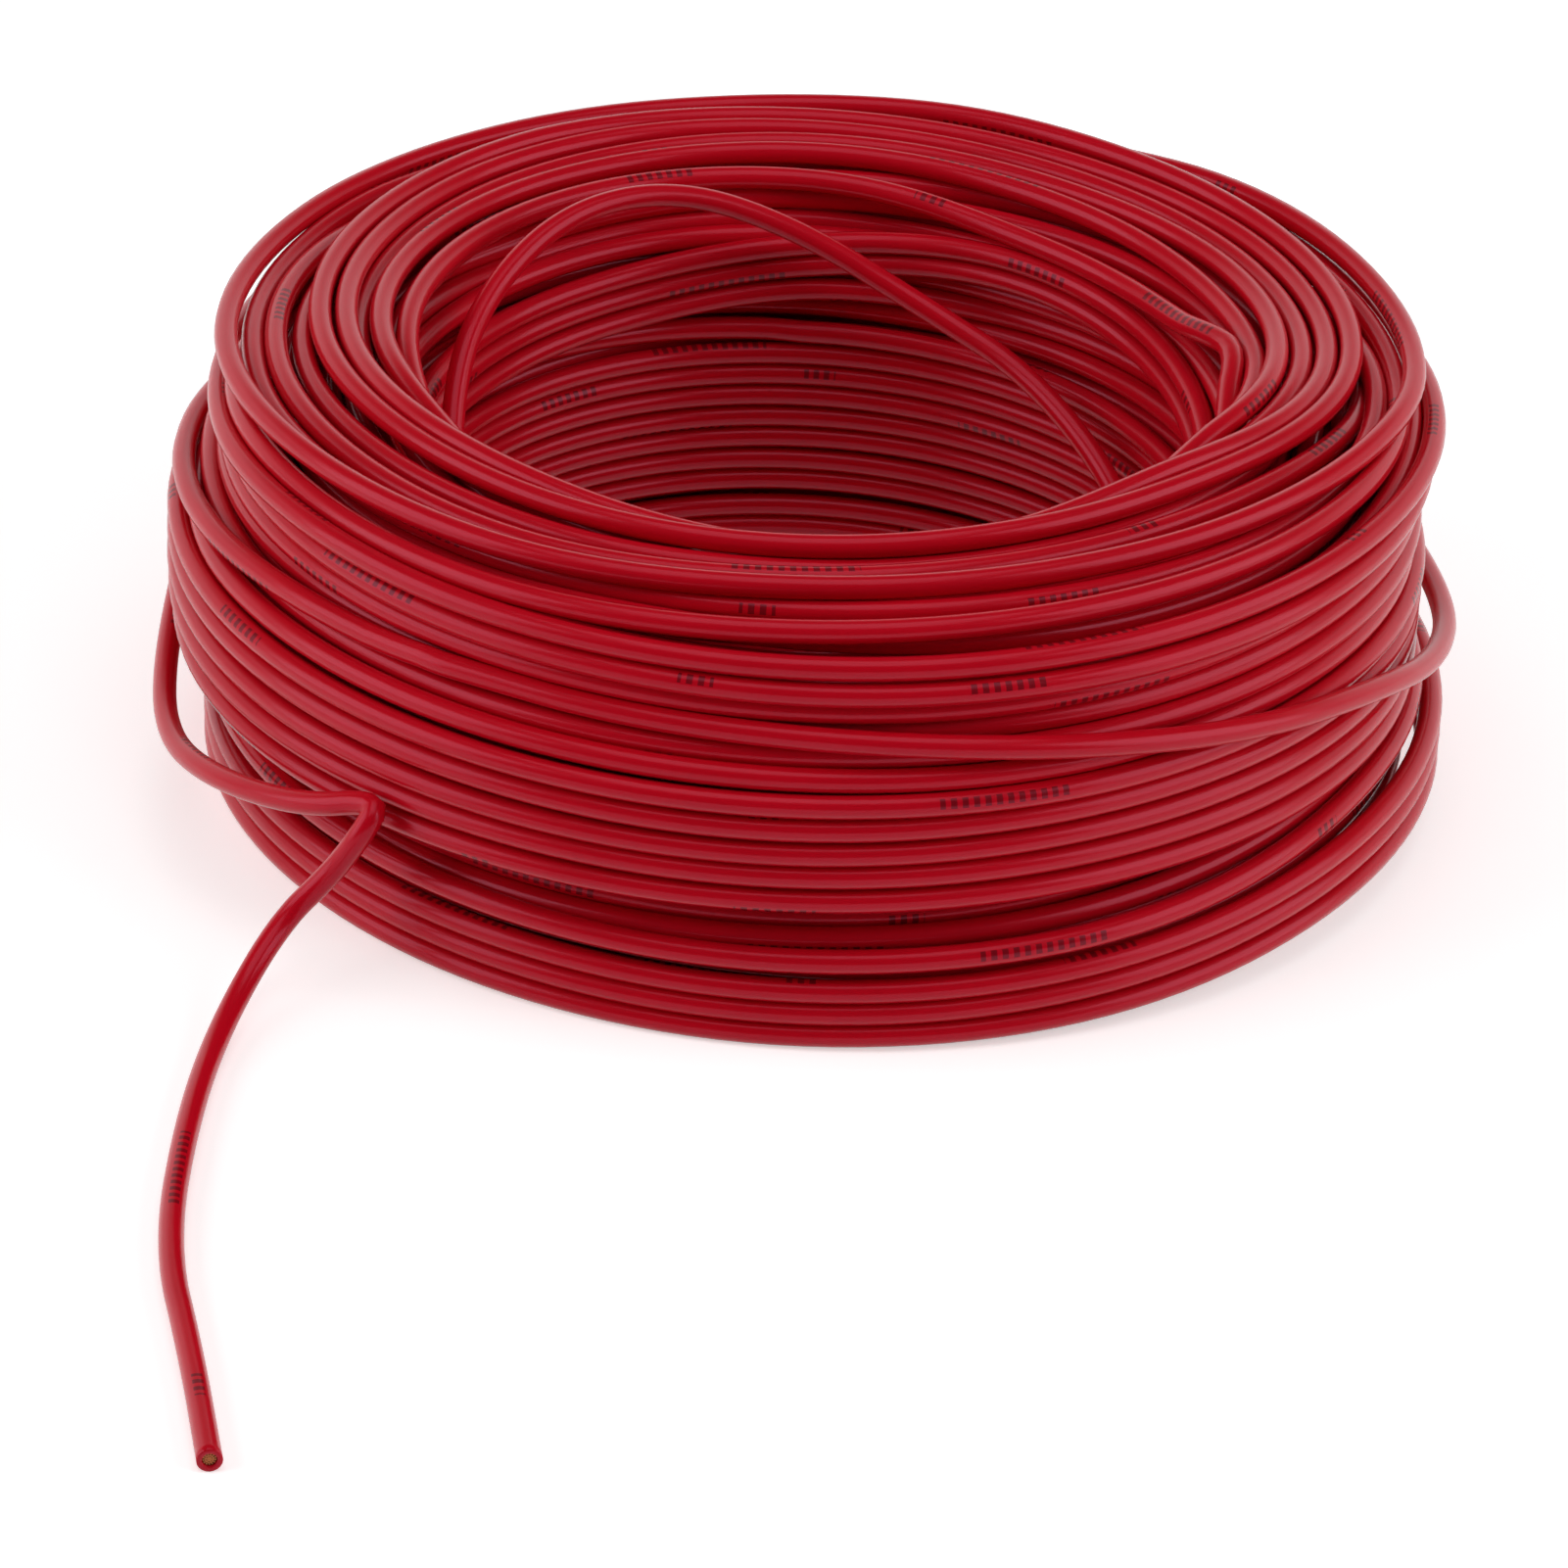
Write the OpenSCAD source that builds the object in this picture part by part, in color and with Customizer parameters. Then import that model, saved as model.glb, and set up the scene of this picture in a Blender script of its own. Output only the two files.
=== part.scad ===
// Self-supporting ring coil of single-core flexible wire: one length of PVC-insulated stranded
// copper, wound without a drum or ties, with both of its cut ends loose. Millimetres, +Z up.
// The origin is on the coil's axis, in the plane that the coil lies on.

/* [Wire] */
// Outside diameter of the insulation
wire_d = 2.8; // [2.4:0.1:3.2]
// Diameter of one copper strand
strand_d = 0.2; // [0.16:0.01:0.22]
// Free space round the bunch of strands, inside the insulation
strand_room = 0.07; // [0.05:0.01:0.1]
// How deep the cut ends are opened up to show their strands
cut_depth = 4; // [2:0.5:5]
// How far the strands sit back behind the cut face
strand_recess = 0.3; // [0:0.1:1]

/* [Coil] */
// Outside diameter at the coil's foot
coil_d = 146.4; // [142:0.2:152]
// How much narrower the coil is at its shoulder
shoulder_taper = 2; // [0:0.5:4]
// Diameter of the eye at its rim
eye_d = 91; // [87:0.5:94]
// How much wider the eye is at its foot
eye_taper = 1; // [0.5:0.5:2]
// Height of the coil
coil_h = 51.4; // [48:0.2:56]
// Rounding of the rim round the eye, on the wire's centreline
eye_rim_r = 6; // [5.6:0.2:7]
// Rounding of the outer rim, on the wire's centreline
outer_rim_r = 7; // [5.6:0.2:8]

/* [Turns] */
// Least free space between neighbouring turns
turn_gap = 0.5; // [0.5:0.05:0.7]
// Free space between a layer of turns and the buried turns
layer_gap = 0.3; // [0.3:0.05:0.5]
// Extra space between the upper turns and the bundle at the foot
bundle_gap = 1.5; // [0:0.1:2]
// Turns of the foot's layer above that extra space
turns_over_gap = 5.9; // [4.9:1:6.9]
// Flat facets along one turn
facets = 20; // [18:2:24]

/* [Where the layers end] */
// Azimuth at which the eye's layer starts, at the foot
eye_start_az = 252; // [216:18:270]
// Azimuth at which the eye's layer passes into the top layer
rim_az = 90; // [54:18:126]
// Azimuth at which the loose turn leaves the upper layer
leave_az = 234; // [216:18:252]
// Height at which the loose turn leaves the upper layer
leave_h = 38.6; // [37:0.2:40]
// Azimuth at which the foot's layer comes out under the upper one
foot_start_az = 306; // [288:18:324]
// Azimuth at which the foot's layer goes in again
foot_end_az = 90; // [54:18:126]

/* [Hidden] */

insulation = "#a5121f";
shade = "#5c0a12";
copper = "#b5713a";

// Strands lie in rings round the middle one, a little more than their own width apart
strand_rings = [1, 6, 12, 13];
strand_pitch = 1.05 * strand_d;
bore_d = 2 * (len(strand_rings) - 1) * strand_pitch + strand_d + 2 * strand_room;

wire_r = wire_d / 2;
coil_r = coil_d / 2;
eye_r = eye_d / 2;
step = 360 / facets;
pitch = wire_d + turn_gap;
// A layer's chords dip this share of their radius towards the axis
chord_dip = 1 - cos(step / 2);
// A core wall is this far behind the centreline of the turns over it
behind = wire_r + layer_gap;

// Contour of the outer layers' centreline: up the eye, over the top and down the outside
low_z = wire_r + layer_gap;
top_z = coil_h - wire_r;
eye_wall_r = eye_r + wire_r;
eye_foot_r = eye_wall_r + eye_taper / 2;
shoulder_r = coil_r - shoulder_taper / 2 - wire_r;
foot_r = coil_r - wire_r;
eye_wall = top_z - eye_rim_r - low_z;
eye_rim = eye_rim_r * PI / 2;
flat_top = shoulder_r - outer_rim_r - eye_wall_r - eye_rim_r;
outer_rim = outer_rim_r * PI / 2;
outer_wall = top_z - outer_rim_r - low_z;
to_rim = eye_wall + eye_rim / 2;
to_outer_wall = eye_wall + eye_rim + flat_top + outer_rim;

// [radius, height, direction of the outward normal in the section] at length s of the contour
function contour(s) =
    s < eye_wall ? [eye_foot_r + (eye_wall_r - eye_foot_r) * s / eye_wall, low_z + s, 180]
    : s < eye_wall + eye_rim ? rim(eye_wall_r + eye_rim_r, eye_rim_r, 180, s - eye_wall)
    : s < eye_wall + eye_rim + flat_top
        ? [eye_wall_r + eye_rim_r + s - eye_wall - eye_rim, top_z, 90]
    : s < to_outer_wall
        ? rim(shoulder_r - outer_rim_r, outer_rim_r, 90, s - to_outer_wall + outer_rim)
    : down_outside(top_z - outer_rim_r - (s - to_outer_wall));
function rim(mid_r, rad, from, s) =
    let (a = from - s / rad * 180 / PI)
    [mid_r + rad * cos(a), top_z - rad + rad * sin(a), a];
function down_outside(z) =
    [shoulder_r + (foot_r - shoulder_r) * (top_z - outer_rim_r - z) / outer_wall, z, 0];

// Whole facets between two azimuths, going round anticlockwise
function facets_between(a, b) = round(((b - a) % 360 + 360) % 360 / step);
// Facets of a layer that fills a room: as many turns as its wire's pitch lets in
function layer_facets(room, a, b) =
    let (part = facets_between(a, b))
    facets * floor(room / pitch - part / facets) + part;

// Stations of a layer: [azimuth, radius, height, normal]
eye_facets = layer_facets(to_rim, eye_start_az, rim_az);
eye_stations = [
    for (i = [0:eye_facets])
        concat(eye_start_az + i * step, contour(to_rim * i / eye_facets))
];

upper_room = to_outer_wall + top_z - outer_rim_r - leave_h - to_rim;
upper_facets = layer_facets(upper_room, rim_az, leave_az);
upper_stations = [
    for (i = [0:upper_facets])
        concat(rim_az + i * step, contour(to_rim + upper_room * i / upper_facets))
];

// The foot's layer passes one pitch below the place where the loose turn leaves
foot_top = leave_h + pitch * facets_between(foot_start_az, leave_az) / facets - pitch;
foot_room = foot_top - low_z - bundle_gap;
foot_facets = layer_facets(foot_room, foot_start_az, foot_end_az);
foot_stations = [
    for (i = [0:foot_facets])
        let (past_gap = max(0, min(1, i / facets - turns_over_gap)))
        concat(foot_start_az + i * step,
               down_outside(foot_top - foot_room * i / foot_facets - bundle_gap * past_gap))
];

// Directions and places in the coil's own round frame
function outward(az) = [cos(az), sin(az), 0];
function onward(az) = [-sin(az), cos(az), 0];
function place(az, r, z) = r * outward(az) + [0, 0, z];
function station_place(s) = place(s[0], s[1], s[2]);

// The loose turn, from the upper layer to the fold: [azimuth, centreline beyond the coil,
// height over the place where the turn leaves]
loose_turn_route = [
    [254, -2.1, -0.2], [274, -0.3, 0], [294, 1.4, -1.7], [313, 2.4, -5.1], [330, 3, -8.4],
    [346, 3.7, -14.3], [362, 3.9, -17.9], [384, 3.9, -18.8], [408, 4.1, -17.9],
    [432, 4.2, -16.6], [456, 4.1, -15.6], [480, 3.9, -15.9], [504, 3.4, -18],
    [528, 2.6, -22], [548, 2.8, -26], [562, 6, -26.7], [574, 7.5, -23.4], [586, 6.7, -19.8]
];
// The fold and the tail, on their centreline: [x, y] from the fold's corner, and height
fold_az = 233;
fold_beyond = 3.6;
fold_corner = place(fold_az, coil_r + fold_beyond, 0);
tail_route = [
    [0, 0, leave_h - 16.4], [-1.5, -2.4, leave_h - 18.9], [-5.2, -1.3, 13.3], [-10.9, -2.8, 7.4],
    [-16.2, -15, wire_r], [-18.2, -35.4, wire_r], [-18.2, -62, wire_r], [-13.4, -83.4, wire_r],
    [-9.8, -102.4, wire_r]
];
// The inner end, up from the foot and across the eye: [azimuth, inward of the eye's wall, height]
inner_route = [
    [236, 2.4, 2.4], [212, 3.7, 14.7], [190, 3.2, 29], [171, 2, 42], [152, 1.6, 48.7],
    [133, 1.6, 53.2], [114, 2.7, 53.2], [94, 4.1, 47.7], [72, 5.1, 39.6], [48, 4.9, 34.3],
    [20, 3.8, 25.2], [-12, 2.9, 18.7], [-48, 2.2, 11]
];

// A free end runs straight on from its layer for one diameter before it bends
outer_points = round_off([
    station_place(last(upper_stations)),
    station_place(last(upper_stations)) + wire_d * onward(last(upper_stations)[0]),
    for (p = loose_turn_route) place(p[0], coil_r + p[1], leave_h + p[2]),
    for (p = tail_route) fold_corner + p
]);
inner_points = round_off([
    station_place(eye_stations[0]),
    station_place(eye_stations[0]) - wire_d * onward(eye_stations[0][0]),
    for (p = inner_route) place(p[0], eye_r - p[1], p[2])
]);

// Each corner of a route is cut off at a quarter of its two sides; the two ends stay
function round_off(p) = [
    p[0],
    for (i = [0:len(p) - 2])
        each [0.75 * p[i] + 0.25 * p[i + 1], 0.25 * p[i] + 0.75 * p[i + 1]],
    p[len(p) - 1]
];
function last(list) = list[len(list) - 1];
function unit(v) = v / norm(v);
function heading(p, i) = unit(p[min(i + 1, len(p) - 1)] - p[max(i - 1, 0)]);

// Least gap between parts of a winding that are at least most of a turn apart
function self_gap(p) =
    min([for (i = [0:len(p) - 1], j = [i + facets - 4:1:len(p) - 1]) norm(p[i] - p[j])])
    - wire_d;
eye_centre = [for (s = eye_stations) station_place(s)];
upper_centre = [for (s = upper_stations) station_place(s)];
foot_centre = [for (s = foot_stations) station_place(s)];
echo(eye_turns = eye_facets / facets, least_gap_to_itself = self_gap(eye_centre));
echo(upper_turns = upper_facets / facets, least_gap_to_itself = self_gap(upper_centre));
echo(foot_turns = foot_facets / facets, least_gap_to_itself = self_gap(foot_centre));

// A closed tube through rings of points that all have the same count
module skin(ring_points) {
    sides = len(ring_points[0]);
    far = (len(ring_points) - 1) * sides;
    polyhedron(
        points = [for (r = ring_points) each r],
        faces = [
            for (i = [0:sides:far - sides], k = [0:sides - 1])
                let (a = i + k, b = i + (k + 1) % sides)
                each [[a, a + sides, b], [b, a + sides, b + sides]],
            for (k = [1:sides - 2]) [0, k, k + 1],
            for (k = [1:sides - 2]) [far, far + k + 1, far + k]
        ],
        convexity = 10
    );
}

// A layer of turns: six-sided rings whose corners face the next turn. Its first and last
// diameter run straight, so that it meets what it joins square, at its end stations.
module layer(stations) {
    rings = [for (s = stations) layer_ring(s)];
    skin([
        rings[0],
        [for (p = rings[0]) p + wire_d * onward(stations[0][0])],
        for (i = [1:len(rings) - 2]) rings[i],
        [for (p = last(rings)) p - wire_d * onward(last(stations)[0])],
        last(rings)
    ]);
}
function layer_ring(s) = [
    for (k = [0:5])
        let (a = s[3] + 90 - 60 * k)
        station_place(s) + wire_r * (cos(a) * outward(s[0]) + [0, 0, sin(a)])
];

// A free length of wire: eight-sided rings, one corner straight down
module free_length(p) {
    skin([
        for (i = [0:len(p) - 1])
            let (t = heading(p, i), side = unit(cross(t, [0, 0, 1])), up = cross(side, t))
            [for (k = [0:7]) p[i] + wire_r * (cos(45 * k) * side + sin(45 * k) * up)]
    ]);
}

// Turns +Z to a free length's heading at its tip
module at_tip(p) {
    t = heading(p, len(p) - 1);
    translate(last(p))
        rotate([0, acos(t[2]), atan2(t[1], t[0])])
            children();
}

// The length of wire with its cut end bored open
module cut_length(p) {
    difference() {
        free_length(p);
        at_tip(p)
            translate([0, 0, -cut_depth])
                cylinder(d = bore_d, h = cut_depth + 1, $fn = 24);
    }
}

// The strands, bunched in rings as in a flexible conductor
module strand_bunch(p) {
    at_tip(p)
        for (ring = [0:len(strand_rings) - 1], k = [0:strand_rings[ring] - 1])
            rotate([0, 0, (k + ring / 3) * 360 / strand_rings[ring]])
                translate([ring * strand_pitch, 0, -cut_depth])
                    cylinder(d = strand_d, h = cut_depth - strand_recess, $fn = 16);
}

// Where a layer goes in among the buried turns: a short bridge of wire from its end station,
// behind it where the layer starts and past it where the layer stops
module layer_end(s, past) {
    rotate([0, 0, s[0]])
        translate([s[1], past ? 0 : -wire_d, s[2]]) {
            rotate([-90, 0, 0])
                cylinder(d = wire_d, h = wire_d, $fn = 32);
            translate([-wire_d - layer_gap, 0, -wire_r])
                cube([wire_d + layer_gap, wire_d, wire_d]);
        }
}

// The buried turns, packed too deep to see, as one plain ring with a flat foot
module coil_core() {
    arc = [0:15:90];
    rim_z = top_z - eye_rim_r;
    shoulder_z = top_z - outer_rim_r;
    color(shade) {
        rotate_extrude($fn = 180)
            polygon([
                [eye_foot_r + behind, 0],
                for (a = arc)
                    [eye_wall_r + eye_rim_r - (eye_rim_r - behind) * cos(a),
                     rim_z + (eye_rim_r - behind) * sin(a)],
                for (a = arc)
                    [shoulder_r * (1 - chord_dip) - outer_rim_r
                         + (outer_rim_r - behind) * sin(a),
                     shoulder_z + (outer_rim_r - behind) * cos(a)],
                [foot_r * (1 - chord_dip) - behind, 0]
            ]);
        layer_end(foot_stations[0], false);
        layer_end(last(foot_stations), true);
    }
}

// The layer that lines the eye, from the foot up to the rim
module eye_turns() {
    color(insulation) layer(eye_stations);
}

// The layer over the top and down to where the loose turn leaves it
module upper_turns() {
    color(insulation) layer(upper_stations);
}

// The layer round the lower wall, with the bundle at the foot set a little apart
module foot_turns() {
    color(insulation) layer(foot_stations);
}

// The last turn, which stands off the coil, its fold, and the tail out to the cut end
module outer_end() {
    color(insulation) cut_length(outer_points);
}

// The first length of the wire, which springs across the eye
module inner_end() {
    color(insulation) cut_length(inner_points);
}

// Copper strands in the tail's cut end
module outer_strands() {
    color(copper) strand_bunch(outer_points);
}

// Copper strands in the inner cut end
module inner_strands() {
    color(copper) strand_bunch(inner_points);
}

coil_core();
eye_turns();
upper_turns();
foot_turns();
outer_end();
inner_end();
outer_strands();
inner_strands();
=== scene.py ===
"""A self-supporting ring coil of single-core flexible wire, with both of its cut ends loose.

One length of red PVC-insulated copper wire is laid turn by turn round an open eye: first the
turns that line the eye, then the buried layers, then the turns over the top and down the
outside, and last the loose turn, its fold and the tail. Sections are worked out in millimetres
and go to Blender in metres, in the frame of the CAD part.
"""

import logging
import math
from dataclasses import dataclass, field
from enum import Enum

import bpy
import numpy as np
from mathutils import Matrix


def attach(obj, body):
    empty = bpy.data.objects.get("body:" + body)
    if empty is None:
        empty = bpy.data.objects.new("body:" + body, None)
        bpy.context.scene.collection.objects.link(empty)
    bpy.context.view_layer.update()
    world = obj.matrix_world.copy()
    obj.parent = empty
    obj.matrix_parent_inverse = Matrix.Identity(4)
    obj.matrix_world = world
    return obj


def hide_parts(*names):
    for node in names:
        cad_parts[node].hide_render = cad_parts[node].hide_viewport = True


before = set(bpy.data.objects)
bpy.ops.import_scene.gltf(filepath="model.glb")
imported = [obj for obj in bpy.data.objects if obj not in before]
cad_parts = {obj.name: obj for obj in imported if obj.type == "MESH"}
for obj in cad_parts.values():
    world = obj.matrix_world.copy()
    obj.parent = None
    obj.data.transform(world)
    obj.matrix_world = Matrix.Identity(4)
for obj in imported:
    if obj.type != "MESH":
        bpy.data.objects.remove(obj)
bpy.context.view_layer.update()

MM = 0.001
SEED = 2718
WHITE = (1.0, 1.0, 1.0, 1.0)
# Keeps a division from failing where two places are the same.
TINY = 1e-6
# A place with no wire, in millimetres: so far off that it touches none.
FAR = 1000.0
# How many times the corners of a free end's route are cut off.
CORNER_PASSES = 3
log = logging.getLogger("wire_coil")


class Lay(Enum):
    """How a length of the wire lies."""

    LOOSE = "loose"
    COILED = "coiled"


class FarEnd(Enum):
    """What the far end of a length of the wire comes to."""

    BARE = "bare"
    IN_THE_COIL = "object"


# ---------------------------------------------------------------------------------------------
# Curves and smoothing
# ---------------------------------------------------------------------------------------------


def through(knots: np.ndarray, values: np.ndarray, at: np.ndarray) -> np.ndarray:
    """A smooth curve through values at uneven knots, with the slope of the chord at each knot.

    Args:
        knots: Rising positions of the knots.
        values: One row of numbers for each knot.
        at: The positions to read the curve at.

    Returns:
        One row of numbers for each position in at.
    """
    values = np.asarray(values, float).reshape(len(knots), -1)
    slope = np.gradient(values, knots, axis=0)
    i = np.clip(np.searchsorted(knots, at, side="right") - 1, 0, len(knots) - 2)
    span = (knots[i + 1] - knots[i])[:, None]
    t = ((at - knots[i]) / span[:, 0])[:, None]
    return (
        (2 * t**3 - 3 * t**2 + 1) * values[i]
        + (t**3 - 2 * t**2 + t) * span * slope[i]
        + (3 * t**2 - 2 * t**3) * values[i + 1]
        + (t**3 - t**2) * span * slope[i + 1]
    )


def soften(values: np.ndarray, spread: float) -> np.ndarray:
    """Averages each value with its neighbours along the wire, by a bell curve.

    Args:
        values: Numbers along the wire, one row for each station.
        spread: The bell curve's standard deviation, in stations.

    Returns:
        The softened numbers, in the same shape.
    """
    reach = int(3 * spread) + 1
    bell = np.exp(-0.5 * (np.arange(-reach, reach + 1) / spread) ** 2)
    bell /= bell.sum()
    flat = values.reshape(len(values), -1)
    padded = np.pad(flat, ((reach, reach), (0, 0)), mode="edge")
    columns = [np.convolve(padded[:, c], bell, mode="valid") for c in range(flat.shape[1])]
    return np.stack(columns, axis=1).reshape(values.shape)


def wander(count: int, every: float, amount: float, rng: np.random.Generator) -> np.ndarray:
    """A slow random drift along the wire.

    Args:
        count: How many stations the drift has.
        every: Stations between its random knots.
        amount: Its standard deviation.
        rng: The seeded source of random numbers.

    Returns:
        One number for each station.
    """
    knots = np.arange(0, count + 2 * every, every)
    return through(knots, rng.normal(0, amount, len(knots)), np.arange(count))[:, 0]


def run_along(path: np.ndarray) -> np.ndarray:
    """The length along a path at each of its points."""
    return np.concatenate([[0], np.cumsum(np.linalg.norm(np.diff(path, axis=0), axis=1))])


def length_of(path: np.ndarray) -> float:
    """The whole length of a path."""
    return float(np.linalg.norm(np.diff(path, axis=0), axis=1).sum())


def resample(path: np.ndarray, step: float) -> np.ndarray:
    """Points at even steps along a path.

    Args:
        path: The path's points.
        step: The wanted distance between points.

    Returns:
        The new points, with the same two ends.
    """
    run = run_along(path)
    count = max(2, int(round(run[-1] / step)) + 1)
    return through(run, path, np.linspace(0, run[-1], count))


def rounded(points: np.ndarray, passes: int) -> np.ndarray:
    """Cuts each corner of a route off at a quarter of its two sides; the two ends stay.

    Args:
        points: The route's corners.
        passes: How many times all the corners are cut.

    Returns:
        The rounded route.
    """
    for _ in range(passes):
        near = 0.75 * points[:-1] + 0.25 * points[1:]
        far = 0.25 * points[:-1] + 0.75 * points[1:]
        cut = np.stack([near, far], axis=1).reshape(-1, points.shape[1])
        points = np.concatenate([points[:1], cut, points[-1:]])
    return points


# ---------------------------------------------------------------------------------------------
# The coil's section and its turns, in millimetres
# ---------------------------------------------------------------------------------------------


@dataclass(frozen=True)
class Wire:
    """Single-core flexible wire."""

    diameter: float = 2.8
    bore: float = 1.6
    cut_depth: float = 4.0

    @property
    def radius(self) -> float:
        """The radius over the insulation."""
        return self.diameter / 2


@dataclass(frozen=True)
class Around:
    """A size of the hand-wound coil that drifts from one side of it to the other."""

    mean: float
    right: float = 0.0
    back: float = 0.0

    def at(self, azimuth: np.ndarray) -> np.ndarray:
        """The size at azimuths in degrees, where 0 is the right and 90 is the back."""
        angle = np.radians(azimuth)
        return self.mean + self.right * np.cos(angle) + self.back * np.sin(angle)


@dataclass(frozen=True)
class Section:
    """The outline of the coil's section, on the centreline of the wire that lies over it.

    A place on the outline is its distance along it: a height up the eye's wall first, then a
    radius across the flat top, then down the outside. It is measured so that the number is the
    radius on the flat top.
    """

    eye_r: float = 46.9
    top: float = 50.0
    rim_round: Around = Around(3.75, back=2.25)
    shoulder_round: Around = Around(3.9, back=-2.4)
    shoulder_r: Around = Around(70.6, right=1.2, back=0.2)
    mid_r: Around = Around(73.0, right=-1.3, back=-0.5)
    foot_r: Around = Around(72.6, right=2.9, back=-0.4)
    shoulder_z: float = 38.0
    mid_top_z: float = 34.0
    mid_foot_z: float = 15.0
    foot_z: float = 12.0

    def on_side(self, azimuth: np.ndarray, height: np.ndarray) -> np.ndarray:
        """The place on the outline of a height on the outer wall or its shoulder.

        Args:
            azimuth: Azimuths in degrees.
            height: Heights of the wire's centreline.

        Returns:
            Distances along the outline.
        """
        bend = self.shoulder_round.at(azimuth)
        start = self.shoulder_r.at(azimuth) - bend
        drop = self.top - np.asarray(height, float)
        turn = np.arccos(np.clip(1 - drop / bend, 0, 1))
        return start + bend * turn + np.maximum(drop - bend, 0)

    def outer_r(self, azimuth: np.ndarray, height: np.ndarray) -> np.ndarray:
        """The outer wall's radius, which differs between the shoulder, the middle and the foot.

        Args:
            azimuth: Azimuths in degrees.
            height: Heights of the wire's centreline.

        Returns:
            Radii of the wire's centreline.
        """
        up = np.clip((height - self.mid_top_z) / (self.shoulder_z - self.mid_top_z), 0, 1)
        down = np.clip((self.mid_foot_z - height) / (self.mid_foot_z - self.foot_z), 0, 1)
        return (
            self.shoulder_r.at(azimuth) * up
            + self.mid_r.at(azimuth) * (1 - up) * (1 - down)
            + self.foot_r.at(azimuth) * down
        )

    def place(self, azimuth: np.ndarray, along: np.ndarray, depth: np.ndarray) -> np.ndarray:
        """Radius and height of places on or under the outline.

        Args:
            azimuth: Azimuths in degrees.
            along: Distances along the outline.
            depth: Distances under it, square to the outline.

        Returns:
            One row of radius and height for each place.
        """
        rim, bend = self.rim_round.at(azimuth), self.shoulder_round.at(azimuth)
        rim_mid, shoulder_mid = self.eye_r + rim, self.shoulder_r.at(azimuth) - bend
        up = (along - rim_mid) / rim + math.pi / 2
        down = (along - shoulder_mid) / bend
        below_rim = np.minimum(up, 0) * rim
        below_wall = np.maximum(down - math.pi / 2, 0) * bend
        up, down = np.clip(up, 0, math.pi / 2), np.clip(down, 0, math.pi / 2)
        height = self.top - rim * (1 - np.sin(up)) - bend * (1 - np.cos(down))
        height = height + below_rim - below_wall
        radius = np.clip(along, rim_mid, shoulder_mid) - rim * np.cos(up) + bend * np.sin(down)
        radius += (self.outer_r(azimuth, height) - self.shoulder_r.at(azimuth)) * (below_wall > 0)
        out_r, out_z = np.sin(down) - np.cos(up), np.cos(down) * np.sin(up)
        return np.stack([radius - depth * out_r, height - depth * out_z], axis=1)


@dataclass(frozen=True)
class EyeTurns:
    """The turns that line the eye, from the foot up. Heights are at the back of the coil."""

    start_azimuth: float = 252.0
    start: tuple[float, float] = (47.4, 1.7)
    back_azimuth: float = 90.0
    heights: tuple[float, ...] = (
        1.5, 4.3, 7.2, 10.9, 13.8, 16.7, 19.6, 22.5, 25.4, 28.3, 31.1,
    )

    def stations(self, section: Section) -> list[tuple[float, float, float]]:
        """Azimuth, radius and height of each station of these turns.

        Args:
            section: The coil's section.

        Returns:
            The stations in winding order.
        """
        first = self.back_azimuth + 360
        found = [(self.start_azimuth, *self.start)]
        found += [
            (first + 360 * i, section.eye_r, height) for i, height in enumerate(self.heights)
        ]
        return found


@dataclass(frozen=True)
class BuriedTurns:
    """The layers between the eye's turns and the outer ones, wound down and up in turn.

    The layers next to the rounded rim and shoulder end lower, so that they stay under them.
    """

    layers: int = 8
    first_r: float = 49.7
    last_r: float = 67.4
    pitch: float = 4.15
    foot: float = 1.5
    under_top: float = 4.4
    rim_drop: float = 5.0
    shoulder_drop: float = 14.0
    shoulder_slope: float = 3.0
    crossing: float = 300.0

    def stations(self, section: Section, azimuth: float) -> list[tuple[float, float, float]]:
        """Azimuth, radius and height of each station of these turns.

        Args:
            section: The coil's section.
            azimuth: The azimuth at which the turns before these end.

        Returns:
            The stations in winding order, one every quarter turn.
        """
        found = []
        for layer in range(self.layers):
            radius = self.first_r + (self.last_r - self.first_r) * layer / (self.layers - 1)
            from_shoulder = section.shoulder_r.mean - radius
            drop = max(0.0, self.rim_drop - (radius - section.eye_r))
            drop += max(0.0, self.shoulder_drop - self.shoulder_slope * from_shoulder)
            ceiling = section.top - self.under_top - drop
            turns = round((ceiling - self.foot) / self.pitch)
            azimuth += self.crossing
            for i in range(4 * turns + 1):
                share = i / (4 * turns)
                share = share if layer % 2 else 1 - share
                height = self.foot + (ceiling - self.foot) * share
                found.append((azimuth + 90 * i, radius, height))
            azimuth += 360 * turns
        return found


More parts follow.
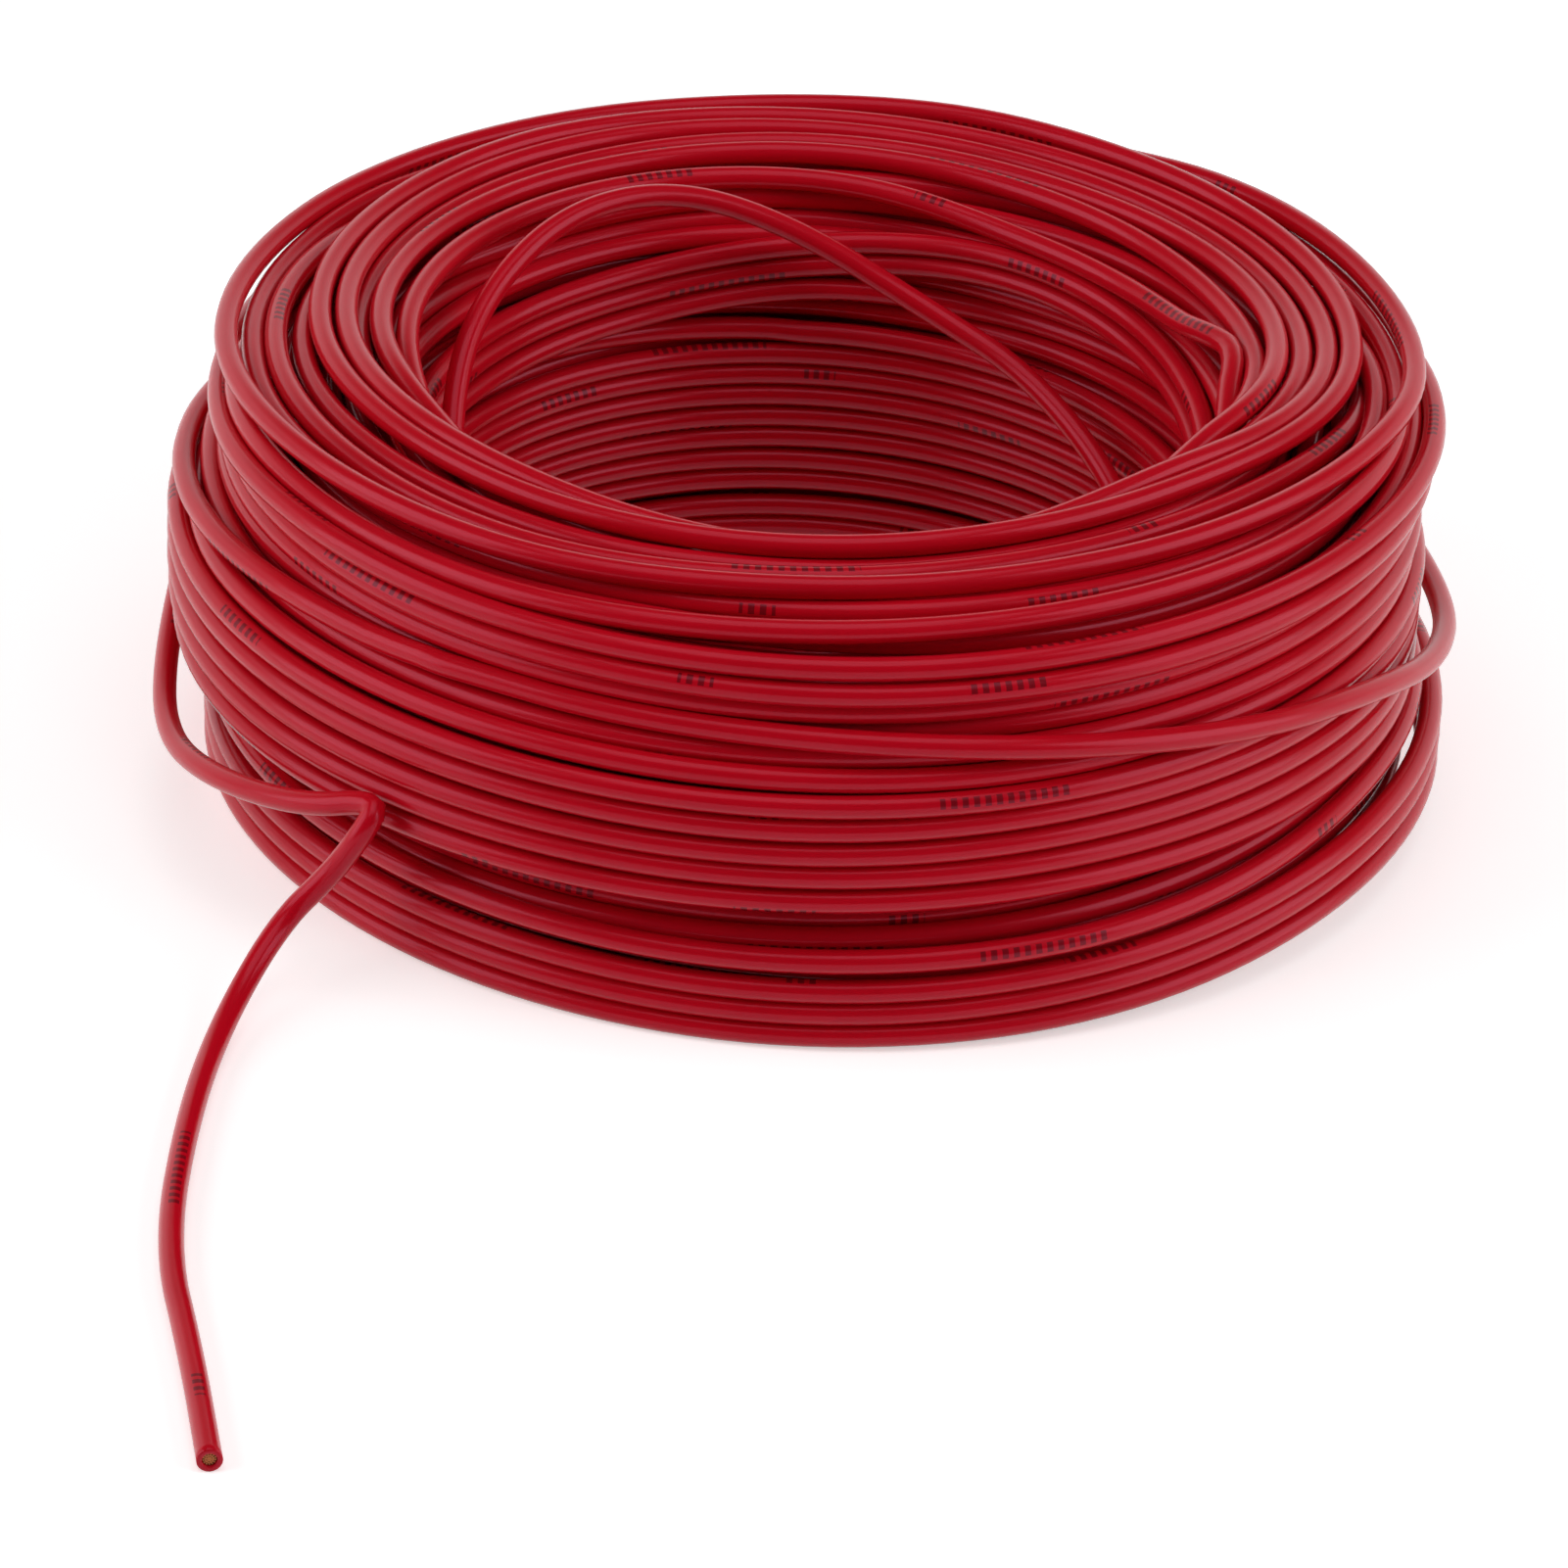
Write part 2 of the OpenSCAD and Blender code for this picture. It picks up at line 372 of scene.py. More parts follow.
@dataclass(frozen=True)
class TopTurns:
    """The turns over the top, in winding order.

    Each row gives how deep a turn lies under the section's outline at the back, the left, the
    front and the right, and its places along the outline, every 30 degrees from the back of
    the coil round to the back again. The last row goes on to the back, where it starts down
    the outside. One turn has a kink where it was bent over.
    """

    first_azimuth: float = 90.0
    run_in: float = 60.0
    step: float = 30.0
    rows: tuple[tuple[tuple[float, ...], tuple[float, ...]], ...] = (
        ((-0.3, 0.1, 0.0, 1.4),
         (72.2, 69.8, 68.5, 68.4, 68.8, 68.3, 67.0, 66.4, 67.4, 69.6, 70.8, 72.0)),
        ((2.6, 0.9, 0.5, 1.6),
         (68.0, 67.6, 66.2, 64.2, 60.6, 58.2, 54.6, 53.2, 56.4, 64.6, 67.6, 68.0)),
        ((2.9, 2.3, 1.5, 2.3),
         (65.0, 66.6, 69.2, 66.5, 63.2, 61.6, 60.0, 60.6, 63.6, 66.8, 65.4, 64.8)),
        ((3.1, 2.0, 1.8, 2.0),
         (62.2, 62.4, 62.2, 60.2, 56.0, 52.9, 49.6, 49.0, 51.6, 56.4, 57.4, 58.4)),
        ((3.0, 3.0, 3.0, 3.0),
         (57.0, 55.0, 52.0, 48.0, 44.0, 40.0, 36.0, 34.0, 33.4, 33.4, 34.8, 35.8)),
        ((0.0, 0.0, 0.0, 0.0),
         (36.8, 34.0, 32.4, 31.1, 30.0, 29.2, 29.1, 29.8, 31.8, 35.1, 39.4, 41.8)),
        ((0.0, 0.0, 0.0, 0.0),
         (39.8, 36.8, 35.3, 34.0, 32.9, 32.1, 32.0, 32.7, 34.8, 38.7, 43.0, 44.8)),
        ((0.0, 0.0, 0.0, -0.5),
         (42.8, 39.8, 38.2, 36.9, 35.8, 35.0, 34.9, 37.4, 44.6, 49.0, 46.6, 47.0)),
        ((0.0, 0.0, 0.0, 1.0),
         (51.0, 52.2, 50.7, 47.8, 43.5, 40.2, 37.8, 39.0, 44.8, 51.8, 53.2, 56.0)),
        ((0.0, 0.0, 0.0, 0.0),
         (58.8, 57.5, 55.0, 51.1, 46.2, 43.0, 40.6, 41.8, 46.4, 53.8, 57.5, 58.8)),
        ((0.4, 0.9, 0.4, 0.2),
         (62.0, 61.0, 57.6, 53.4, 48.2, 45.2, 43.4, 44.2, 48.0, 56.6, 60.4, 63.0)),
        ((0.0, 0.0, 0.0, 0.0),
         (65.3, 65.0, 60.0, 54.6, 49.8, 47.2, 46.0, 46.2, 49.6, 59.4, 64.0, 66.2)),
        ((-0.2, -0.6, 0.0, -0.4),
         (67.8, 66.9, 62.9, 58.0, 52.4, 49.7, 48.6, 48.7, 52.4, 62.4, 67.3, 69.6)),
        ((-1.9, -1.7, -0.4, -0.3),
         (71.0, 70.2, 69.4, 68.4, 65.6, 63.0, 59.2, 58.9, 63.2, 69.8, 71.2, 72.5, 74.0)),
    )
    kink_row: int = 7
    kink_azimuth: float = 371.0
    kink_rise: float = 1.9
    kink_spread: float = 7.0

    def stations(self, section: Section, azimuth: float) -> list[tuple[float, float, float]]:
        """Azimuth, place along the outline and depth of each station of these turns.

        Args:
            section: The coil's section; not used.
            azimuth: The azimuth at which the turns before these end.

        Returns:
            The stations in winding order.
        """
        past_back = azimuth - self.first_azimuth + self.run_in
        start = self.first_azimuth + 360 * math.ceil(past_back / 360)
        found = []
        for turn, (depths, places) in enumerate(self.rows):
            for i, along in enumerate(places):
                quarter, share = divmod(i * self.step / 90, 1)
                near, far = depths[int(quarter) % 4], depths[(int(quarter) + 1) % 4]
                depth = near + (far - near) * share
                found.append((start + 360 * turn + self.step * i, along, depth))
        return found

    def kink(self, first_station: float, azimuth: np.ndarray) -> np.ndarray:
        """How much further along the outline the bent-over turn runs at its kink.

        Args:
            first_station: The azimuth of the first station of the first row.
            azimuth: Azimuths in degrees, counted on from turn to turn.

        Returns:
            Distances along the outline.
        """
        middle = first_station - self.first_azimuth + 360 * self.kink_row + self.kink_azimuth
        return self.kink_rise * np.exp(-(((azimuth - middle) / self.kink_spread) ** 2))


@dataclass(frozen=True)
class SideTurns:
    """The turns down the outside and up again, in winding order.

    Each row gives how deep a turn lies under the outline, and its heights every 30 degrees
    round the front, from the left to the right. The back joins one row to the next. The last
    turn gives azimuth, height and depth up to where the loose turn leaves the coil.
    """

    first_azimuth: float = 180.0
    step: float = 30.0
    rows: tuple[tuple[float, tuple[float, ...]], ...] = (
        (0.0, (44.6, 46.4, 46.2, 46.2, 46.6, 46.9, 46.6)),
        (0.2, (42.0, 43.6, 43.3, 43.3, 43.8, 44.2, 44.0)),
        (1.3, (39.8, 40.8, 40.4, 40.4, 40.9, 41.5, 41.2)),
        (1.2, (38.4, 38.7, 37.9, 37.7, 38.5, 39.4, 38.6)),
        (0.8, (36.1, 36.1, 35.7, 35.6, 36.1, 37.0, 36.0)),
        (1.3, (33.8, 34.2, 34.1, 34.0, 34.0, 34.3, 33.4)),
        (6.8, (17.1, 16.6, 16.2, 16.2, 17.4, 17.6, 16.6)),
        (5.6, (15.2, 15.0, 14.2, 14.0, 15.0, 16.0, 15.6)),
        (5.4, (9.9, 9.6, 9.3, 9.4, 10.7, 12.7, 12.5)),
        (0.0, (1.4, 1.4, 1.4, 1.4, 2.3, 4.6, 4.4)),
        (0.0, (4.2, 4.0, 4.0, 4.0, 5.6, 8.2, 8.2)),
        (0.0, (7.1, 6.7, 6.6, 6.9, 8.5, 11.1, 11.3)),
        (0.0, (12.4, 11.6, 11.4, 11.2, 12.2, 14.2, 14.0)),
        (0.0, (18.5, 18.6, 18.8, 18.9, 19.1, 18.3, 17.0)),
        (0.0, (21.5, 21.8, 21.9, 21.9, 22.2, 21.5, 20.0)),
        (0.0, (24.8, 25.0, 25.0, 24.9, 25.3, 24.7, 23.4)),
        (0.0, (27.9, 28.1, 28.1, 27.9, 28.3, 27.9, 26.7)),
        (0.0, (31.0, 31.2, 31.1, 31.1, 31.4, 31.1, 30.6)),
    )
    last_turn: tuple[tuple[float, float, float], ...] = (
        (150.0, 33.9, 1.8), (180.0, 34.4, 0.6), (210.0, 36.9, -0.4),
    )
    end_azimuth: float = 234.0
    end: tuple[float, float] = (70.9, 38.6)

    def stations(self, section: Section, azimuth: float) -> list[tuple[float, float, float]]:
        """Azimuth, place along the outline and depth of each station of these turns.

        Args:
            section: The coil's section.
            azimuth: The azimuth at which the turns before these end.

        Returns:
            The stations in winding order.
        """
        start = self.first_azimuth + 360 * math.ceil((azimuth - self.first_azimuth) / 360)
        found = []
        for turn, (depth, heights) in enumerate(self.rows):
            for i, height in enumerate(heights):
                here = start + 360 * turn + self.step * i
                found.append((here, float(section.on_side(here, height)), depth))
        last = start + 360 * len(self.rows) - self.first_azimuth
        for azimuth_there, height, depth in self.last_turn:
            here = last + azimuth_there
            found.append((here, float(section.on_side(here, height)), depth))
        return found


@dataclass
class Winding:
    """The whole coiled length of the wire, from the eye's foot to where the loose turn leaves.

    The wire is worked out at fixed azimuths, so that all its turns can be compared in each
    upright half plane through the axis, where a turn shows as a disc.
    """

    wire: Wire = field(default_factory=Wire)
    section: Section = field(default_factory=Section)
    eye: EyeTurns = field(default_factory=EyeTurns)
    buried: BuriedTurns = field(default_factory=BuriedTurns)
    top: TopTurns = field(default_factory=TopTurns)
    side: SideTurns = field(default_factory=SideTurns)
    planes: int = 72
    crossing_width: float = 2.1
    rounds: int = 60
    give: float = 0.45
    # How far the outer and the eye's turns give way, where a buried one gives way by one.
    outer_share: float = 0.35
    eye_share: float = 0.6
    eye_slack: float = 0.6
    # Stations at the two ends that stay, and over which the buried turns pass to the outer.
    start_held: int = 2
    end_held: int = 3
    blend: int = 60
    # Stations between the knots of each drift, and its standard deviation.
    radius_drift: tuple[int, float] = (11, 0.25)
    height_drift: tuple[int, float] = (9, 0.55)
    eye_drift: tuple[int, float] = (13, 0.12)
    outer_drift: tuple[int, float] = (12, 0.12)
    # Standard deviations of the softening, in stations.
    laid_spread: float = 1.2
    depth_spread: float = 2.0
    settled_spread: float = 1.0
    azimuth: np.ndarray = field(init=False)
    places: np.ndarray = field(init=False)
    outer_from: int = field(init=False)
    buried_from: int = field(init=False)

    def lay(self, fixed: list[np.ndarray]) -> None:
        """Lays all the turns and settles them against each other.

        Args:
            fixed: Routes of the free ends, which the turns keep clear of.
        """
        section = self.section
        step = 360 / self.planes
        eye = self.eye.stations(section)
        buried = self.buried.stations(section, eye[-1][0])
        top = self.top.stations(section, buried[-1][0])
        side = self.side.stations(section, top[-1][0])
        end = side[-1][0] - self.side.last_turn[-1][0] + self.side.end_azimuth
        self.azimuth = np.arange(self.eye.start_azimuth, end + step / 2, step)
        self.azimuth[-1] = end
        rng = np.random.default_rng(SEED)
        count = len(self.azimuth)

        inside = np.array(eye + buried)
        self.outer_from = int(np.searchsorted(self.azimuth, top[0][0]))
        self.buried_from = int(np.searchsorted(self.azimuth, eye[-1][0]))
        places = through(inside[:, 0], inside[:, 1:], np.minimum(self.azimuth, inside[-1, 0]))
        hidden = np.arange(count) > self.buried_from
        lean = (places[:, 0] - section.eye_r) / (section.shoulder_r.mean - section.eye_r)
        wider = section.outer_r(self.azimuth, places[:, 1]) - section.shoulder_r.mean
        places[:, 0] += np.clip(lean, 0, 1) ** 2 * wider
        places[:, 0] += wander(count, *self.radius_drift, rng) * hidden
        places[:, 1] += wander(count, *self.height_drift, rng) * hidden
        places[:, 1] += wander(count, *self.eye_drift, rng) * ~hidden

        outline = np.array(top + side)
        laid = through(outline[:, 0], outline[:, 1:], np.maximum(self.azimuth, outline[0, 0]))
        laid = soften(laid, self.laid_spread)
        laid[:, 0] += wander(count, *self.outer_drift, rng)
        laid[:, 0] += self.top.kink(top[0][0], self.azimuth)
        laid[:, 1] = self.under_later(laid, self.outer_from)
        on_outline = section.place(self.azimuth, laid[:, 0], laid[:, 1])
        into_blend = np.arange(count) - self.outer_from + self.blend
        share = np.clip(into_blend / self.blend, 0, 1)[:, None]
        share = share * share * (3 - 2 * share)
        self.places = places * (1 - share) + on_outline * share
        self.places[-1] = self.side.end
        self.settle(fixed)

    def under_later(self, laid: np.ndarray, start: int) -> np.ndarray:
        """Sinks each turn where a later one crosses over it.

        Args:
            laid: Place along the outline and depth of each station.
            start: The first station that lies on the outline.

        Returns:
            The depth of each station.
        """
        count, planes, width = len(laid), self.planes, self.crossing_width
        depth = laid[:, 1].copy()
        for first in range(count - planes, start - planes, -planes):
            here = slice(max(first, start), first + planes)
            offset = here.start - first
            for later in range(first + planes, count, planes):
                span = min(planes, count - later) - offset
                if span <= 0:
                    continue
                a = slice(here.start, here.start + span)
                b = slice(later + offset, later + offset + span)
                apart = np.abs(laid[a, 0] - laid[b, 0])
                under = depth[b] + np.sqrt(np.maximum(width**2 - apart**2, 0))
                depth[a] = np.where(apart < width, np.maximum(depth[a], under), depth[a])
        return soften(depth, self.depth_spread)

    def settle(self, fixed: list[np.ndarray]) -> None:
        """Pushes overlapping turns apart until each has its own room.

        Args:
            fixed: Routes that stay where they are.
        """
        planes, wide = self.planes, self.wire.diameter
        count = len(self.places)
        turns = -(-count // planes)
        blocks = [self.in_planes(route) for route in fixed]
        first = self.places.copy()
        move = np.zeros((turns + sum(len(block) for block in blocks)) * planes)
        move[:count] = 1
        move[self.outer_from - planes:count] = self.outer_share
        move[:self.buried_from] = self.eye_share
        move[:self.start_held] = 0
        move[count - self.end_held:count] = 0
        mobile = move.reshape(-1, planes)
        for _ in range(self.rounds):
            grid = np.tile([FAR, 0.0], (turns * planes, 1))
            grid[:count] = self.places
            grid = grid.reshape(turns, planes, 2)
            every = np.concatenate([grid, *blocks])
            push = np.zeros_like(grid)
            for p in range(planes):
                gap = every[:turns, None, p] - every[None, :, p]
                apart = np.sqrt((gap**2).sum(-1)) + TINY
                lack = np.maximum(wide - apart, 0)
                lack[np.arange(turns), np.arange(turns)] = 0
                mine = mobile[:turns, p][:, None]
                other = mobile[None, :, p]
                part = np.where(mine + other > 0, mine / np.maximum(mine + other, TINY), 0)
                push[:, p] = (gap * (lack * part / apart)[..., None]).sum(1)
            shift = push.reshape(-1, 2)[:count] * self.give
            drift = self.places + shift - first
            drift = 0.5 * drift + 0.5 * soften(drift, self.settled_spread)
            self.places = first + drift
            self.places[:, 1] = np.maximum(self.places[:, 1], self.wire.radius)
            self.places[:, 0] = np.maximum(self.places[:, 0], self.section.eye_r - self.eye_slack)
            self.places[0], self.places[-1] = first[0], first[-1]

    def in_planes(self, route: np.ndarray) -> np.ndarray:
        """Where a route crosses the coil's upright half planes.

        Args:
            route: The route's points in space.

        Returns:
            Rows of radius and height, by turn and by plane.
        """
        azimuth = np.degrees(np.unwrap(np.arctan2(route[:, 1], route[:, 0])))
        if azimuth[-1] < azimuth[0]:
            azimuth, route = azimuth[::-1], route[::-1]
        azimuth = azimuth - self.azimuth[0]
        low = math.floor(azimuth[0] / 360)
        rows = math.ceil(azimuth[-1] / 360) - low
        at = np.arange(rows * self.planes) * 360 / self.planes + 360 * low
        from_axis = np.hypot(route[:, 0], route[:, 1])
        radius = np.interp(at, azimuth, from_axis, left=2 * FAR, right=2 * FAR)
        height = np.interp(at, azimuth, route[:, 2])
        return np.stack([radius, height], axis=1).reshape(rows, self.planes, 2)

    def points(self, start: int, end: int) -> np.ndarray:
        """The wire's centreline between two stations, twice as fine as the stations.

        Args:
            start: The first station.
            end: The last station.

        Returns:
            Points in millimetres.
        """
        at = np.linspace(start, end, 2 * (end - start) + 1)
        stations = np.arange(len(self.places))
        radius, height = through(stations, self.places, at).T
        angle = np.radians(through(stations, self.azimuth, at)[:, 0])
        return np.stack([radius * np.cos(angle), radius * np.sin(angle), height], axis=1)


# ---------------------------------------------------------------------------------------------
# Routes of the two free ends, in metres
# ---------------------------------------------------------------------------------------------


def around(azimuth: float, radius: float, height: float) -> tuple[float, float, float]:
    """A point at an azimuth in degrees, a radius and a height."""
    angle = math.radians(azimuth)
    return radius * math.cos(angle), radius * math.sin(angle), height


@dataclass(frozen=True)
class OuterRoute:
    """The loose turn, its fold and the tail out to the cut end."""

    coil_r: float = 0.0732
    leave_azimuth: float = 234.0
    leave: tuple[float, float] = (0.0709, 0.0386)
    straight: float = 0.0028
    loose_turn: tuple[tuple[float, float, float], ...] = (
        (254, -0.0021, 0.0384), (274, -0.0003, 0.0386), (294, 0.0014, 0.0369),
        (313, 0.0024, 0.0335), (330, 0.003, 0.0302), (346, 0.0037, 0.0243),
        (362, 0.0039, 0.0207), (384, 0.0039, 0.0198), (408, 0.0041, 0.0207),
        (432, 0.0042, 0.022), (456, 0.0041, 0.023), (480, 0.0039, 0.0227),
        (504, 0.0034, 0.0206), (528, 0.0026, 0.0166), (548, 0.0028, 0.0126),
        (562, 0.006, 0.0119), (574, 0.0075, 0.0152), (586, 0.0067, 0.0188),
    )
    fold_azimuth: float = 233.0
    fold_beyond: float = 0.0036
    tail: tuple[tuple[float, float, float], ...] = (
        (0, 0, 0.0222), (-0.0015, -0.0024, 0.0197), (-0.0052, -0.0013, 0.0133),
        (-0.0109, -0.0028, 0.0074), (-0.0162, -0.015, 0.0014), (-0.0182, -0.0354, 0.0014),
        (-0.0182, -0.062, 0.0014), (-0.0134, -0.0834, 0.0014), (-0.0098, -0.1024, 0.0014),
    )

    def points(self) -> np.ndarray:
        """The route's centreline from the coil to the cut end.

        Returns:
            Points in metres.
        """
        start = np.array(around(self.leave_azimuth, *self.leave))
        ahead = np.array(around(self.leave_azimuth + 90, self.straight, 0))
        corner = np.array(around(self.fold_azimuth, self.coil_r + self.fold_beyond, 0))
        turn = [around(a, self.coil_r + beyond, z) for a, beyond, z in self.loose_turn]
        tail = [corner + np.array(p) for p in self.tail]
        return rounded(np.array([start, start + ahead, *turn, *tail]), CORNER_PASSES)


@dataclass(frozen=True)
class InnerRoute:
    """The first length of the wire, up from the eye's foot and across the eye."""

    eye_r: float = 0.0455
    start_azimuth: float = 252.0
    start: tuple[float, float] = (0.0474, 0.0017)
    straight: float = 0.0028
    corners: tuple[tuple[float, float, float], ...] = (
        (236, 0.0024, 0.0024), (212, 0.0037, 0.0147), (190, 0.0032, 0.029),
        (171, 0.002, 0.042), (152, 0.0016, 0.0487), (133, 0.0016, 0.0532),
        (114, 0.0027, 0.0532), (94, 0.0041, 0.0477), (72, 0.0051, 0.0396),
        (48, 0.0049, 0.0343), (20, 0.0038, 0.0252), (-12, 0.0029, 0.0187),
        (-48, 0.0022, 0.011),
    )

    def points(self) -> np.ndarray:
        """The route's centreline from the coil to the cut end.

        Returns:
            Points in metres.
        """
        start = np.array(around(self.start_azimuth, *self.start))
        ahead = np.array(around(self.start_azimuth - 90, self.straight, 0))
        rest = [around(a, self.eye_r - inward, z) for a, inward, z in self.corners]
        return rounded(np.array([start, start + ahead, *rest]), CORNER_PASSES)


# ---------------------------------------------------------------------------------------------
# Finishes
# ---------------------------------------------------------------------------------------------


def linear(code: str) -> tuple[float, float, float, float]:
    """Turns an sRGB hex colour to Blender's linear one.

    Args:
        code: The colour as six hex digits.

    Returns:
        Red, green, blue and an alpha of one.
    """
    parts = [int(code[i:i + 2], 16) / 255 for i in (0, 2, 4)]
    red, green, blue = (
        c / 12.92 if c <= 0.04045 else ((c + 0.055) / 1.055) ** 2.4 for c in parts
    )
    return red, green, blue, 1.0


def add_node(tree: bpy.types.NodeTree, kind: str, values: dict | None = None,
             **settings: object) -> bpy.types.Node:
    """Adds a node to a material, sets it and links it.

    Args:
        tree: The node tree.
        kind: Blender's name for the node's type.
        values: For each input, by name or number, a value or the output that feeds it.
        **settings: The node's own settings.

    Returns:
        The new node.
    """
    node = tree.nodes.new(kind)
    for name, value in settings.items():
        setattr(node, name, value)
    for name, value in (values or {}).items():
        if isinstance(value, bpy.types.NodeSocket):
            tree.links.new(value, node.inputs[name])
        else:
            node.inputs[name].default_value = value
    return node


def calculate(tree: bpy.types.NodeTree, operation: str, *inputs: object) -> bpy.types.NodeSocket:
    """The output of a math node, whose inputs are numbers or outputs."""
    values = dict(enumerate(inputs))
    return add_node(tree, "ShaderNodeMath", values, operation=operation).outputs[0]


def noise(tree: bpy.types.NodeTree, place: bpy.types.NodeSocket, scale: float,
          detail: float) -> bpy.types.NodeSocket:
    """The output of a noise texture, from nought to one."""
    values = {"Vector": place, "Scale": scale, "Detail": detail}
    return add_node(tree, "ShaderNodeTexNoise", values).outputs["Fac"]


def mixed(tree: bpy.types.NodeTree, share: bpy.types.NodeSocket, first: object,
          second: object) -> bpy.types.NodeSocket:
    """Two colours mixed by the second one's share."""
    values = {"Factor": share, "A": first, "B": second}
    return add_node(tree, "ShaderNodeMix", values, data_type="RGBA").outputs["Result"]


def ranged(tree: bpy.types.NodeTree, value: bpy.types.NodeSocket, low: float,
           high: float) -> bpy.types.NodeSocket:
    """An output that runs from nought to one, spread over another range."""
    values = {"Value": value, "To Min": low, "To Max": high}
    return add_node(tree, "ShaderNodeMapRange", values).outputs[0]


def new_material(name: str) -> tuple[bpy.types.Material, bpy.types.NodeTree]:
    """An empty node material.

    Args:
        name: The material's name.

    Returns:
        The material and its node tree.
    """
    material = bpy.data.materials.new(name)
    material.use_nodes = True
    material.node_tree.nodes.clear()
    return material, material.node_tree


@dataclass(frozen=True)
class ExtrudedPvc:
    """Soft PVC insulation, extruded over the conductor and coloured all through.

    The die leaves a smooth skin, dragged faintly along the wire, so the highlights run along it
    as thin, pinkish, slightly uneven lines. The pigment is a little cloudy. The only marks are
    plain printed ticks, in groups along one side. Lengths are in millimetres.
    """

    name: str = "extruded_red_pvc"
    body: str = "d00a20"
    cloudy: str = "c4091d"
    sheen: str = "ffaccc"
    ink: str = "4a0c14"
    cloud: float = 11.0
    cloud_detail: float = 2.0
    # A die's drag lines are about 0.05 mm wide: drawn 0.6 mm wide and 20 mm long, so as to show.
    drag_width: float = 0.6
    drag_length: float = 20.0
    drag_depth: float = 0.04
    drag_strength: float = 0.12
    drag_detail: float = 3.0
    girth: float = 8.8
    roughness: float = 0.22
    rough_range: tuple[float, float] = (-0.05, 0.07)
    gloss: float = 0.42
    ior: float = 1.5
    tick_pitch: float = 1.3
    tick_width: float = 0.7
    tick_height: float = 0.14
    tick_strength: float = 0.7
    twist: float = 2350.0
    repeat: float = 176.0
    groups: tuple[tuple[float, float], ...] = ((4.0, 19.0), (52.0, 56.0), (84.0, 93.0))

    def build(self) -> bpy.types.Material:
        """Makes the material, whose patterns follow the wire's own UV map, in millimetres.

        Returns:
            The new material.
        """
        material, tree = new_material(self.name)
        uv = add_node(tree, "ShaderNodeUVMap", uv_map="along_wire")
        split = add_node(tree, "ShaderNodeSeparateXYZ", {0: uv.outputs[0]})
        along, around_wire = split.outputs[0], split.outputs[1]
        place = add_node(tree, "ShaderNodeTexCoord").outputs["Object"]
        clouds = noise(tree, place, 1 / (self.cloud * MM), self.cloud_detail)
        tint = mixed(tree, clouds, linear(self.body), linear(self.cloudy))
        colour = mixed(tree, self.ticks(tree, along, around_wire), tint, linear(self.ink))
        drag = add_node(
            tree, "ShaderNodeCombineXYZ",
            {0: calculate(tree, "MULTIPLY", along, 1 / self.drag_length),
             1: calculate(tree, "MULTIPLY", around_wire, self.girth / self.drag_width)},
        )
        grain = noise(tree, drag.outputs[0], 1.0, self.drag_detail)
        low, high = self.rough_range
        rough = ranged(tree, grain, self.roughness + low, self.roughness + high)
        bump = add_node(
            tree, "ShaderNodeBump",
            {"Height": grain, "Strength": self.drag_strength, "Distance": self.drag_depth * MM},
        )
        shader = add_node(
            tree, "ShaderNodeBsdfPrincipled",
            {"Base Color": colour, "Roughness": rough, "Normal": bump.outputs[0],
             "IOR": self.ior, "Specular IOR Level": self.gloss,
             "Specular Tint": linear(self.sheen)},
        )
        add_node(tree, "ShaderNodeOutputMaterial", {"Surface": shader.outputs[0]})
        return material

    def within(self, tree: bpy.types.NodeTree, value: bpy.types.NodeSocket, low: float,
               high: float) -> bpy.types.NodeSocket:
        """One where an output lies between two numbers, and nought elsewhere."""
        return calculate(tree, "COMPARE", value, (low + high) / 2, (high - low) / 2)

    def ticks(self, tree: bpy.types.NodeTree, along: bpy.types.NodeSocket,
              around_wire: bpy.types.NodeSocket) -> bpy.types.NodeSocket:
        """A mask of plain printed ticks in groups along the wire.

        Args:
            tree: The node tree.
            along: The output that holds the length along the wire, in millimetres.
            around_wire: The output that holds the place round the wire, from nought to one.

        Returns:
            The mask's output.
        """
        place = calculate(tree, "MODULO", along, self.repeat)
        group = self.within(tree, place, *self.groups[0])
        for low, high in self.groups[1:]:
            group = calculate(tree, "MAXIMUM", group, self.within(tree, place, low, high))
        beat = calculate(tree, "MODULO", along, self.tick_pitch)
        bar = self.within(tree, beat, 0.0, self.tick_width)
        turned = calculate(tree, "MULTIPLY", along, 1 / self.twist)
        turned = calculate(tree, "FRACT", calculate(tree, "ADD", turned, around_wire))
        half = self.tick_height / 2
        row = self.within(tree, turned, 0.5 - half, 0.5 + half)
        mask = calculate(tree, "MULTIPLY", calculate(tree, "MULTIPLY", group, bar), row)
        return calculate(tree, "MULTIPLY", mask, self.tick_strength)


@dataclass(frozen=True)
class BrightCopper:
    """Plain annealed copper strand, sheared by cutters.

    The cut faces are bright and warm, with a broken shine from the marks of the blades.
    """

    name: str = "bright_copper_strand"
    colour: str = "a4613e"
    roughness: float = 0.34
    rough_range: tuple[float, float] = (-0.08, 0.12)
    # The blades' marks are about 0.02 mm wide: drawn 0.4 mm wide, so as to show.
    mark_width: float = 0.4
    mark_detail: float = 2.0

    def build(self) -> bpy.types.Material:
        """Makes the material, with fine shear marks from the cutters.

        Returns:
            The new material.
        """
        material, tree = new_material(self.name)
        place = add_node(tree, "ShaderNodeTexCoord").outputs["Object"]
        marks = noise(tree, place, 1 / (self.mark_width * MM), self.mark_detail)
        low, high = self.rough_range
        rough = ranged(tree, marks, self.roughness + low, self.roughness + high)
        shader = add_node(
            tree, "ShaderNodeBsdfPrincipled",
            {"Base Color": linear(self.colour), "Metallic": 1.0, "Roughness": rough},
        )
        add_node(tree, "ShaderNodeOutputMaterial", {"Surface": shader.outputs[0]})
        return material


